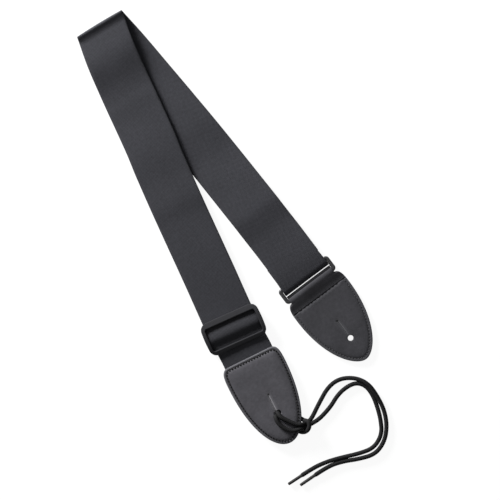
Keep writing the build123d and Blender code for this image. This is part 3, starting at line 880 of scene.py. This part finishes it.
def button_face(x, y, d):
    height = button_top + eased(sewn_edge, d) * 0.62
    height += lips(x, y, 2.5, button_slit_top) - 0.2 * bell(hypot(x, y) - hole_radius, 0.6)
    under_tab = eased([(tab_seam_at - 0.5, 0), (tab_seam_at + 0.1, 1)], y)
    seat = eased([(52.5, 2.3), (54.5, 1.15)], y)
    return height + (seat - height) * under_tab


def sewn_back(low):
    """Back of a sewn pad above its lowest height: the seam's groove, and a rounded rim."""
    return lambda x, y, d: low + 0.5 * bell(d - seam_inset, 0.45) + 0.25 * bell(d, 0.5)


button_pad = leather_end(
    "button_end_pad", button_outline, button_hole, (0, 3, button_slit_top), on_right_leg,
    button_face, sewn_back(0.02), leather_black,
)
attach(button_pad, "button_end")
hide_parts("button_end_outer_panel", "button_end_foam_core", "button_end_lining")


def half_width(outline, y):
    """Half width of an outline at a height."""
    return max(
        x0 + (y - y0) / (y1 - y0) * (x1 - x0)
        for (x0, y0), (x1, y1) in zip(outline, outline[1:] + outline[:1])
        if (y0 > y) != (y1 > y)
    )


# The tab, from beneath the pad round the ring's near bar and back on to the pad.
tab_half, tab_thick, tab_columns, tab_soft_edge = 25.4, 1.2, 24, 0.45
tab_path = [
    (56.5, 0.62), (61.5, 0.62), (65.1, 0.75), (66.65, 1.7), (67.05, 3.0), (66.1, 4.6), (64.2, 5.65),
    (61.8, 5.9), (59.2, 5.3), (56.8, 4.6), (54.4, 3.85), (52.2, 3.3), (49.75, 3.02),
]
tab_upper_z = 1.5  # from here up it is as wide as the pad, and below only as wide as its neck
stations = []
for along, height in through(tab_path, 0.55):
    wide = half_width(button_outline, along) if along < shoulder - 1.5 else tab_half
    half = max(wide, tab_half) if height > tab_upper_z else neck
    stations.append((on_right_leg(0, along, height), -right_across, half))
tab = band("button_end_tab", stations, tab_thick, tab_columns, tab_soft_edge, leather_black)
painted_shade_leather, tree, shader = new_finish("leather_painted_shade")  # near black where it turns round the bar: painted shade
surface(tree, shader, (0.006, 0.006, 0.007, 1), rough=0.85, specular=0.1)
tab.data.materials.append(painted_shade_leather)
painted_shade_from = 65.2
for face in tab.data.polygons:
    if (face.center / MM).dot(right_along) > painted_shade_from:
        face.material_index = 1
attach(tab, "button_end")
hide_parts("button_end_outer_panel")


# Seams of the button end: round its edge in thread of the leather's tone, across the tab in black.
def round_seam(outline, face, up, limit=inf):
    """Stitch places in a pad's groove; limit leaves out those above that height."""
    line = inset(outline, seam_inset)
    loop = [point for point, _ in evenly(line + line[:1], stitch_pitch, round)]
    found = []
    for (x0, y0), (x1, y1) in zip(loop, loop[1:]):
        at = (x0 + x1) / 2, (y0 + y1) / 2
        if at[1] < limit:
            found.append(stitch(face, at, (x1, y1), up))
    return found


places = round_seam(button_outline, level(on_right_leg, button_top - 0.15), upwards, tab_seam_at - 1.2)
places += round_seam(button_outline, level(on_right_leg, 0.52), down)
edge_seam = seam("button_end_edge_thread", places, grey_thread, 2.25, 0.5)
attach(edge_seam, "button_end")
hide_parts("button_end_edge_seam")

tab_row = tab_seam_at + 1.9
seam_half = half_width(button_outline, tab_seam_at + 2) - 2.9
places = row((-seam_half, tab_row), (seam_half, tab_row), level(on_right_leg, 3.6), upwards)
tab_thread = seam("button_end_tab_thread", places, black_thread)
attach(tab_thread, "button_end")
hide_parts("button_end_tab_seam")

# ---- Lace end ----
# The other leather end, sewn on over the webbing with heavy black thread in a deep groove. It lies a
# little higher, on the lace that passes beneath it, and its face is left plain.
lace_top = node_box("lace_end_front_panel")[1].z
lace_bottom = node_box("lace_end_back_panel")[0].z


def ways(turn):
    """Directions across and along, turned clockwise by that many degrees."""
    turn = radians(turn)
    return Vector((cos(turn), -sin(turn), 0)), Vector((sin(turn), cos(turn), 0))


on_lace_end = placer(Vector((-92.5, 34.4, 0)), *ways(5.0))
lace_widest, lace_tip_at = 30.2, -90
lace_outline = whole_outline(
    (0, 0), (8, 0), (15, 0), (21.7, 0), (29.6, 0), (lace_widest, -7), (lace_widest, -18),
    (lace_widest, -64), (15.5, lace_tip_at), (0, lace_tip_at)
)
hole_x, hole_y = 1.2, -60.4
hole_turn = radians(38.8)
hole_wide, hole_long = 2.35, 1.85  # radius of its round ends, and half the straight between them
lace_hole = []
for x, y in circle(hole_wide):
    x += hole_long if x > 0 else -hole_long
    lace_hole.append((
        hole_x + x * cos(hole_turn) - y * sin(hole_turn), hole_y + x * sin(hole_turn) + y * cos(hole_turn)
    ))
slit_top = hole_y + 20.6
lace_hole = keyhole(lace_hole, hole_x, slit_top)


def lace_face(x, y, d):
    return lace_top + eased(sewn_edge, d) + lips(x - hole_x, y, hole_y + 3, slit_top)


lace_pad = leather_end(
    "lace_end_pad", lace_outline, lace_hole, (hole_x, hole_y, slit_top), on_lace_end,
    lace_face, sewn_back(lace_bottom), leather_grey,
)
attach(lace_pad, "strap")
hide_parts("lace_end_front_panel", "lace_end_foam_core", "lace_end_back_panel")

places = round_seam(lace_outline, level(on_lace_end, lace_top - 0.1), upwards)
places += round_seam(lace_outline, level(on_lace_end, lace_bottom + 0.5), down)
lace_seam = seam("lace_end_thread", places, black_thread, 2.0, 1.25)
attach(lace_seam, "strap")
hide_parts("lace_end_seam")

# ---- Lace ----
# Round braided cord, doubled and hitched through the lace end's hole; its two ends run free side by
# side. The hitch grips the leather's edge.
lace_diameter = 4.2
floor_z = lace_diameter / 2 + 0.05
over_z = lace_top + 0.6 + lace_diameter / 2
on_hitch = placer(on_lace_end(hole_x, hole_y), *ways(57.0))
hitch_route = [
    (30.9, 17.5, floor_z), (30.9, 12.6, floor_z), (30.4, 9.0, 2.6), (29.6, 6.4, 3.2), (28.4, 4.1, 4.2),
    (26.6, 2.6, 7.0), (23.6, 0.5, 9.7), (19.6, -1.0, over_z), (13.7, -1.4, over_z), (7.1, -1.4, over_z),
    (3.4, -1.1, over_z - 0.2), (0.6, 0.3, over_z - 1.2), (-1.7, 1.6, over_z - 4.2), (-1.7, 2.0, floor_z),
    (8.0, 3.4, floor_z), (16.5, 5.6, floor_z), (22.4, 5.6, floor_z), (25.0, 5.4, 4.4), (26.8, 6.1, 7.2),
    (28.7, 6.4, 9.2), (30.8, 4.8, 9.8), (32.1, 2.0, 9.8), (32.1, -1.0, 8.9), (31.1, -3.4, 6.9),
    (29.2, -5.2, 4.2), (26.8, -6.0, 2.4), (24.0, -6.0, floor_z), (17.0, -5.0, floor_z),
    (8.0, -3.2, floor_z), (-1.6, -2.0, floor_z), (-1.8, -2.2, over_z - 4.2), (-0.7, -3.4, over_z - 1.2),
    (1.6, -5.9, over_z - 0.2), (4.7, -7.8, over_z), (9.8, -9.1, over_z), (15.6, -9.2, over_z),
    (20.4, -7.6, over_z), (23.8, -4.5, 9.7), (26.4, -2.0, 8.4), (28.5, 0.0, 6.4), (30.0, 1.8, 4.8),
    (31.9, 4.4, 4.2), (33.8, 7.0, 3.6), (35.6, 9.6, 3.0), (37.2, 12.4, floor_z), (38.8, 16.2, floor_z),
    (40.0, 20.2, floor_z),
]
hitch_points = [on_hitch(*place) for place in hitch_route]
straight_on = 8  # how far a strand runs on in line with the hitch


def strand_route(end, before, places):
    """Points of a strand from an end of the hitch, through (x, y, height above the floor) places."""
    return [end, end + (end - before).normalized() * straight_on] + [
        Vector((x, y, floor_z + rise)) for x, y, rise in places
    ]


strand_routes = (
    strand_route(hitch_points[0], hitch_points[1], [
        (-42.9, -28.9, 0), (-29.2, -27.5, 0), (-15.9, -34.4, 0.8), (-8.0, -45.7, 2.4), (-7.0, -60.5, 1.2),
        (-8.0, -74.7, 0), (-13.2, -88.8, 0), (-23.1, -100.9, 0), (-37.1, -106.8, 0), (-52.6, -102.7, 0),
        (-67.5, -96.4, 0), (-82.0, -93.3, 0), (-96.0, -94.1, 0),
    ]),
    strand_route(hitch_points[-1], hitch_points[-2], [
        (-39.5, -40.4, 0), (-28.6, -37.9, 0), (-17.8, -38.8, 0), (-11.0, -46.2, 0), (-10.0, -57.5, 0),
        (-12.2, -69.4, 0), (-15.8, -81.5, 0), (-22.0, -93.9, 0), (-35.2, -101.1, 0), (-50.2, -98.2, 0),
        (-65.1, -93.2, 0), (-79.9, -89.1, 0), (-94.0, -87.3, 0), (-107.1, -87.8, 0),
    ]),
)


def settled(points):
    """The line that a lace takes along its route, in millimetres."""
    curve = bpy.data.curves.new("lace_route", "CURVE")
    curve.dimensions = "3D"
    spline = curve.splines.new("NURBS")
    spline.points.add(len(points) - 1)
    for knot, point in zip(spline.points, points):
        knot.co = (*(point * MM), 1)
    spline.order_u = 3
    spline.use_endpoint_u = True
    spline.resolution_u = 24
    route = bpy.data.objects.new("lace_route", curve)
    scene.collection.objects.link(route)
    bpy.context.view_layer.update()
    mesh = bpy.data.meshes.new_from_object(route.evaluated_get(bpy.context.evaluated_depsgraph_get()))
    found = [vertex.co / MM for vertex in mesh.vertices]
    bpy.data.meshes.remove(mesh)
    bpy.data.objects.remove(route)
    return found


braid_strands, braid_rise, braid_relief = 8, 1.9, 0.13
braid_step, braid_sides = 0.42, 32


def braided_lace(name, line, finish):
    """Round braid along a line: crossing strands stand up as small diamonds."""
    radius = lace_diameter / 2
    stops = [(Vector(point), run) for point, run in evenly(line, braid_step, ceil)]
    points, lay = [], []
    normal = None
    for i, (point, run) in enumerate(stops):
        before, after = stops[max(i - 1, 0)][0], stops[min(i + 1, len(stops) - 1)][0]
        heading = (after - before).normalized()
        if normal is None:
            normal = heading.orthogonal().normalized()
        normal = (normal - heading * normal.dot(heading)).normalized()
        side = heading.cross(normal)
        for k in range(braid_sides):
            a = 2 * pi * k / braid_sides
            p, q = (k / braid_sides * braid_strands + way * run / braid_rise for way in (1, -1))
            relief = (abs(sin(pi * p)) * abs(sin(pi * q))) ** 0.5 - 0.75
            reach = radius + braid_relief * relief
            points.append(point + normal * (reach * cos(a)) + side * (reach * sin(a)))
            lay.append((a * radius * MM, run * MM, relief))
    return make_piece(name, points, tube_faces(braid_sides, len(stops)), finish, lay=lay)


lace_black, tree, shader = new_finish("lace_braid")
lay = field(tree, "lay")
# Painted shade: the hollows between the braid's raised diamonds are coloured darker.
raised = maths(tree, "ADD", split(tree, lay)[2], 0.75)
tint = mixed(tree, raised, (0.003, 0.003, 0.0031, 1), (0.0125, 0.0125, 0.0135, 1))
tint = shade(tree, tint, placed(tree, patches, place=spot_on(tree), scale=300.0, amount=0.5))
strand_twist = placed(tree, twist, place=lay, ply=0.00035)
surface(tree, shader, tint, rough=0.8, specular=0.25, normal=bumped(tree, strand_twist, 0.35, 0.0001))

hitch_braid = braided_lace("lace_hitch_braid", settled(hitch_points), lace_black)
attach(hitch_braid, "strap")
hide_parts("lace_hitch")

# ---- Lace strands and tips ----
# The free ends lie on the floor in one wide turn. Each is closed by a slim shrunk-on plastic tip that
# is crimped where it grips the braid.
tip_grey = moulded_finish(
    "tip_grey", (0.026, 0.025, 0.0245), [(500.0, 0.6)], rough=0.6, specular=0.2, grain=700.0, relief=0.2
)
tip_lengths = (17.6, 15.7)
tip_sides = 24
tip_crimp = [(-0.8, 1.5), (-0.6, 1.86), (-0.2, 1.92), (0.5, 1.75), (1.4, 1.58), (2.4, 1.5), (3.2, 1.54)]


def lace_tip(name, start, heading, long, finish):
    """Turned sleeve along a heading, crimped where it grips the braid."""
    normal = heading.orthogonal().normalized()
    side = heading.cross(normal)
    profile = tip_crimp + [
        (long * 0.4, 1.52), (long * 0.75, 1.48), (long - 0.9, 1.42), (long - 0.35, 1.28), (long, 0.9)
    ]
    points = []
    for along, radius in profile:
        for k in range(tip_sides):
            a = 2 * pi * k / tip_sides
            points.append(start + heading * along + normal * (radius * cos(a)) + side * (radius * sin(a)))
    return make_piece(name, points, tube_faces(tip_sides, len(profile)), finish)


for number, (route, tip_long) in enumerate(zip(strand_routes, tip_lengths), 1):
    line = settled(route)
    long = sum((b - a).length for a, b in zip(line, line[1:]))
    strand = braided_lace(f"lace_strand_braid_{number}", line, lace_black)
    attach(strand, "strap")
    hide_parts(f"lace_strand_{number}")
    heading = (route[-1] - route[-2]).normalized()
    sleeve = lace_tip(f"lace_tip_sleeve_{number}", route[-1], heading, tip_long, tip_grey)
    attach(sleeve, "strap")
    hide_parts(f"lace_tip_{number}")

# ---- Floor, light and camera ----
# The strap lies on a plain white table under a large soft light from beyond the fold, and is seen
# from straight above, turned so that the legs slope across the view.
table_white, tree, shader = new_finish("table_white")
ray = add_node(tree, "LightPath").outputs
looked_at = maths(tree, "MAXIMUM", ray["Is Camera Ray"], ray["Is Glossy Ray"])
surface(tree, shader, (0.15, 0.15, 0.15, 1), rough=0.9, specular=0.0)
glow = maths(tree, "MULTIPLY", looked_at, 0.92)
wired(tree, shader, {"Emission Color": (1, 1, 1, 1), "Emission Strength": glow})
reach, table_z = 3000, -0.1
corners = [(-reach, -reach), (reach, -reach), (reach, reach), (-reach, reach)]
floor = make_piece("table", [(x, y, table_z) for x, y in corners], [(0, 1, 2, 3)], table_white)

world = bpy.data.worlds.new("studio")
scene.world = world
world.use_nodes = True
wired(world.node_tree, world.node_tree.nodes["Background"], {"Color": (1, 1, 1, 1), "Strength": 0.21})

view_middle = Vector((-38.5, 121.1, 0)) * MM
view_turn = 31.2
view_right, view_up = ways(view_turn)
key_rise, key_far = radians(18), 1.8
key_way = (view_up - view_right).normalized() * cos(key_rise) + Vector((0, 0, sin(key_rise)))
lamp = bpy.data.lights.new("key", "AREA")
lamp.size, lamp.energy = 0.6, 78
key = bpy.data.objects.new("key", lamp)
key.location = view_middle + key_way * key_far
key.rotation_euler = (-key_way).to_track_quat("-Z", "Y").to_euler()
scene.collection.objects.link(key)

lens = bpy.data.cameras.new("camera")
lens.lens, lens.sensor_width = 180, 36
view_wide = 0.476
camera = bpy.data.objects.new("camera", lens)
camera.location = view_middle + Vector((0, 0, view_wide * lens.lens / lens.sensor_width))
camera.rotation_euler = (0, 0, -radians(view_turn))
lens.clip_end = 20
scene.collection.objects.link(camera)
scene.camera = camera
scene.view_settings.view_transform = "Standard"
